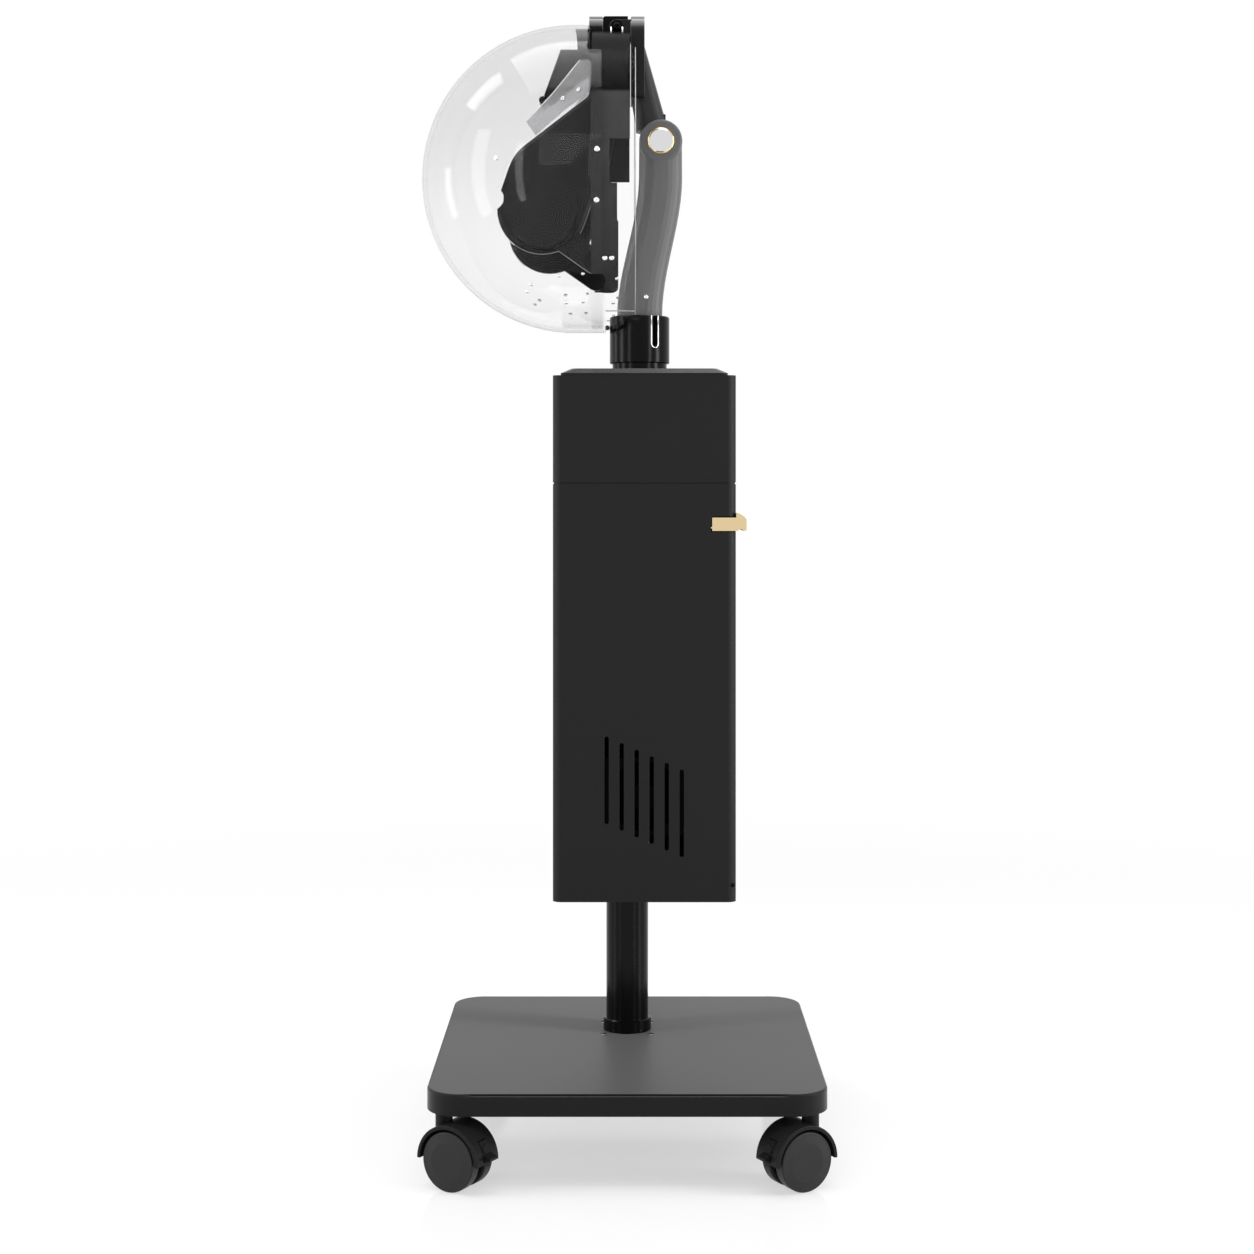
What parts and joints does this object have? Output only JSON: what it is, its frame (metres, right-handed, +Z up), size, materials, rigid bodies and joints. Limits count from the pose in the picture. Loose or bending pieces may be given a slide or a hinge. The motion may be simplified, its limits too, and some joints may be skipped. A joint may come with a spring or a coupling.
{
  "type": "hair steamer",
  "caption": "Hair steamer with a clear hood on a folding arm, above a slim black cabinet with a gold-handled tilt-out door, on a flat base with twin-wheel casters.",
  "frame": {"origin": "on the floor, under the axis of the post", "axes": "+Z up, -X towards the hood's dome, +X towards the controls and the door's face, -Y towards the camera"},
  "size_m": [0.4773, 0.5054, 1.3315],
  "materials": {
    "powder_coat": "fine matte powder coat",
    "gloss_steel": "satin black",
    "plain_steel": "plain primer",
    "zinc_steel": "zinc plated",
    "black_nylon": "moulded",
    "wheel_grey": "satin",
    "arm_grey": "satin",
    "gloss_black": "gloss",
    "clear_plastic": "clear",
    "tank_plastic": "translucent",
    "gold_trim": "champagne anodised",
    "bright_chrome": "polished",
    "stainless": "brushed",
    "board_green": "solder mask",
    "hose_rubber": "matte"
  },
  "bodies": {
    "stand": {"base_tray": "powder_coat", "ballast_plate": "plain_steel", "post_tube": "gloss_steel", "foot_ring": "powder_coat", "post_flange": "plain_steel", "base_bolts": "zinc_steel", "caster_stems": "zinc_steel", "lower_shell": "powder_coat", "cabinet_floor": "plain_steel", "mid_deck": "powder_coat", "upper_shell": "powder_coat", "cabinet_lid": "powder_coat", "swivel_collar": "gloss_steel", "door_hinge_pin": "zinc_steel", "mains_inlet": "black_nylon", "control_panel": "gloss_black", "water_tank": "tank_plastic", "tank_cap": "black_nylon", "water_pump": "black_nylon", "fan_frame": "black_nylon", "boiler": "stainless", "boiler_lid": "stainless", "heating_element": "stainless", "control_board": "board_green", "steam_hose": "hose_rubber"},
    "door": {"service_door": "powder_coat", "door_handle": "gold_trim"},
    "fan": {"fan_impeller": "black_nylon"},
    "key_1": {"button_1": "black_nylon"},
    "key_2": {"button_2": "black_nylon"},
    "key_3": {"button_3": "black_nylon"},
    "rocker": {"power_rocker": "black_nylon"},
    "arm": {"lower_arm": "arm_grey", "knuckle_pin": "zinc_steel", "knuckle_cap": "bright_chrome"},
    "link": {"upper_link": "arm_grey", "hinge_pin": "zinc_steel"},
    "hood": {"hood_bracket": "gloss_black", "clear_dome": "clear_plastic", "clear_band": "clear_plastic", "carrying_ring": "gloss_black", "side_pods": "gloss_black", "mist_duct": "gloss_black", "mist_blade": "clear_plastic"},
    "caster_1": {"caster_body_1": "black_nylon"},
    "wheels_1": {"caster_wheels_1": "wheel_grey", "caster_axle_1": "zinc_steel"},
    "brake_1": {"caster_brake_1": "black_nylon"},
    "caster_2": {"caster_body_2": "black_nylon"},
    "wheels_2": {"caster_wheels_2": "wheel_grey", "caster_axle_2": "zinc_steel"},
    "brake_2": {"caster_brake_2": "black_nylon"},
    "caster_3": {"caster_body_3": "black_nylon"},
    "wheels_3": {"caster_wheels_3": "wheel_grey", "caster_axle_3": "zinc_steel"},
    "brake_3": {"caster_brake_3": "black_nylon"},
    "caster_4": {"caster_body_4": "black_nylon"},
    "wheels_4": {"caster_wheels_4": "wheel_grey", "caster_axle_4": "zinc_steel"},
    "brake_4": {"caster_brake_4": "black_nylon"}
  },
  "joints": [
    {"name": "door_tilt", "type": "hinge", "parent": "stand", "child": "door", "pos_m": [0.123, 0, 0.2975], "axis": [0, 1, 0], "range_deg": [0, 55]},
    {"name": "fan_spin", "type": "hinge", "parent": "stand", "child": "fan", "pos_m": [0.01975, -0.092, 0.40075], "axis": [0, 1, 0], "continuous": true},
    {"name": "rocker_tip", "type": "hinge", "parent": "stand", "child": "rocker", "pos_m": [-0.025, 0.102, 0.362], "axis": [1, 0, 0], "range_deg": [0, 14]},
    {"name": "arm_swivel", "type": "hinge", "parent": "stand", "child": "arm", "pos_m": [0.015, 0, 0.968], "axis": [0, 0, 1], "range_deg": [-90, 90]},
    {"name": "link_tilt", "type": "hinge", "parent": "arm", "child": "link", "pos_m": [0.0405, 0, 1.179], "axis": [0, 1, 0], "range_deg": [0, 25]},
    {"name": "hood_lift", "type": "hinge", "parent": "link", "child": "hood", "pos_m": [-0.0125, 0, 1.315], "axis": [0, 1, 0], "range_deg": [0, 90]},
    {"name": "key_1_press", "type": "slide", "parent": "stand", "child": "key_1", "axis": [-1, 0, 0], "range_m": [0, 0.0015], "stiffness_N_per_m": 400},
    {"name": "key_2_press", "type": "slide", "parent": "stand", "child": "key_2", "axis": [-1, 0, 0], "range_m": [0, 0.0015], "stiffness_N_per_m": 400},
    {"name": "key_3_press", "type": "slide", "parent": "stand", "child": "key_3", "axis": [-1, 0, 0], "range_m": [0, 0.0015], "stiffness_N_per_m": 400},
    {"name": "swivel_1", "type": "hinge", "parent": "stand", "child": "caster_1", "pos_m": [-0.2, -0.26, 0.076], "axis": [0, 0, 1], "continuous": true},
    {"name": "roll_1", "type": "hinge", "parent": "caster_1", "child": "wheels_1", "pos_m": [-0.18441, -0.269, 0.0325], "axis": [0.5, 0.866, 0], "continuous": true},
    {"name": "brake_press_1", "type": "hinge", "parent": "caster_1", "child": "brake_1", "pos_m": [-0.15657, -0.28508, 0.05304], "axis": [0.5, 0.866, 0], "range_deg": [0, 6]},
    {"name": "swivel_2", "type": "hinge", "parent": "stand", "child": "caster_2", "pos_m": [0.2, -0.26, 0.076], "axis": [0, 0, 1], "continuous": true},
    {"name": "roll_2", "type": "hinge", "parent": "caster_2", "child": "wheels_2", "pos_m": [0.18441, -0.269, 0.0325], "axis": [0.5, -0.866, 0], "continuous": true},
    {"name": "brake_press_2", "type": "hinge", "parent": "caster_2", "child": "brake_2", "pos_m": [0.15657, -0.28508, 0.05304], "axis": [0.5, -0.866, 0], "range_deg": [0, 6]},
    {"name": "swivel_3", "type": "hinge", "parent": "stand", "child": "caster_3", "pos_m": [-0.2, 0.14, 0.076], "axis": [0, 0, 1], "continuous": true},
    {"name": "roll_3", "type": "hinge", "parent": "caster_3", "child": "wheels_3", "pos_m": [-0.18968, 0.15474, 0.0325], "axis": [-0.8192, 0.5736, 0], "continuous": true},
    {"name": "brake_press_3", "type": "hinge", "parent": "caster_3", "child": "brake_3", "pos_m": [-0.17123, 0.18108, 0.05304], "axis": [-0.8192, 0.5736, 0], "range_deg": [0, 6]},
    {"name": "swivel_4", "type": "hinge", "parent": "stand", "child": "caster_4", "pos_m": [0.2, 0.14, 0.076], "axis": [0, 0, 1], "continuous": true},
    {"name": "roll_4", "type": "hinge", "parent": "caster_4", "child": "wheels_4", "pos_m": [0.19687, 0.12227, 0.0325], "axis": [0.9848, -0.1736, 0], "continuous": true},
    {"name": "brake_press_4", "type": "hinge", "parent": "caster_4", "child": "brake_4", "pos_m": [0.19129, 0.09061, 0.05304], "axis": [0.9848, -0.1736, 0], "range_deg": [0, 6]}
  ]
}
